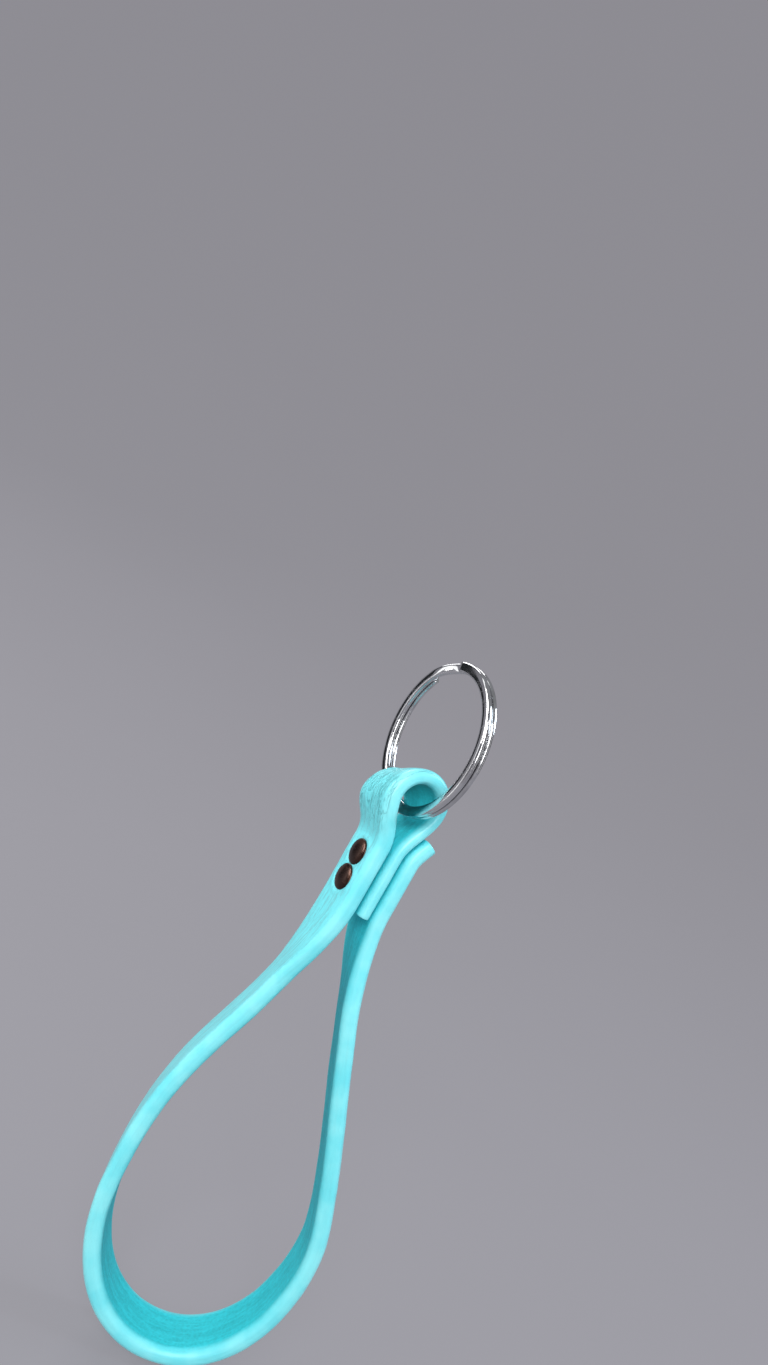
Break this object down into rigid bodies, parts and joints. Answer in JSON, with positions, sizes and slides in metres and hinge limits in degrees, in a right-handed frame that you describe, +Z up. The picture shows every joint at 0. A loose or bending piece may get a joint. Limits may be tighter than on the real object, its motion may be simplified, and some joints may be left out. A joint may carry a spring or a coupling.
{
  "type": "riveted leather wrist lanyard",
  "caption": "Leather strip folded over a split ring, closed by double-cap rivets into a teardrop wrist loop. It swings on the ring's wire.",
  "frame": {"origin": "inside of the split ring's top, where a key's bail or a clip holds the hanging lanyard", "axes": "+Z up along the hanging lanyard; the wrist loop lies in the XZ plane and opens along Y; -Y faces the viewer of the loop"},
  "size_m": [0.0422, 0.0282, 0.1365],
  "materials": {
    "turquoise_leather": "smooth dyed leather with a fine grain and sealed edges",
    "polished_steel": "polished nickel-plated steel",
    "dark_bronze": "polished dark bronze plating"
  },
  "bodies": {
    "ring": {"split_ring": "polished_steel"},
    "strap": {"strap": "turquoise_leather", "upper_front_cap": "dark_bronze", "upper_socket": "dark_bronze", "upper_stem": "dark_bronze", "upper_back_cap": "dark_bronze", "lower_front_cap": "dark_bronze", "lower_socket": "dark_bronze", "lower_stem": "dark_bronze", "lower_back_cap": "dark_bronze"}
  },
  "joints": [
    {"name": "strap_swing", "type": "hinge", "parent": "ring", "child": "strap", "pos_m": [0, 0, -0.027], "axis": [-0.3987, 0.9171, 0], "range_deg": [-150, 150]}
  ]
}
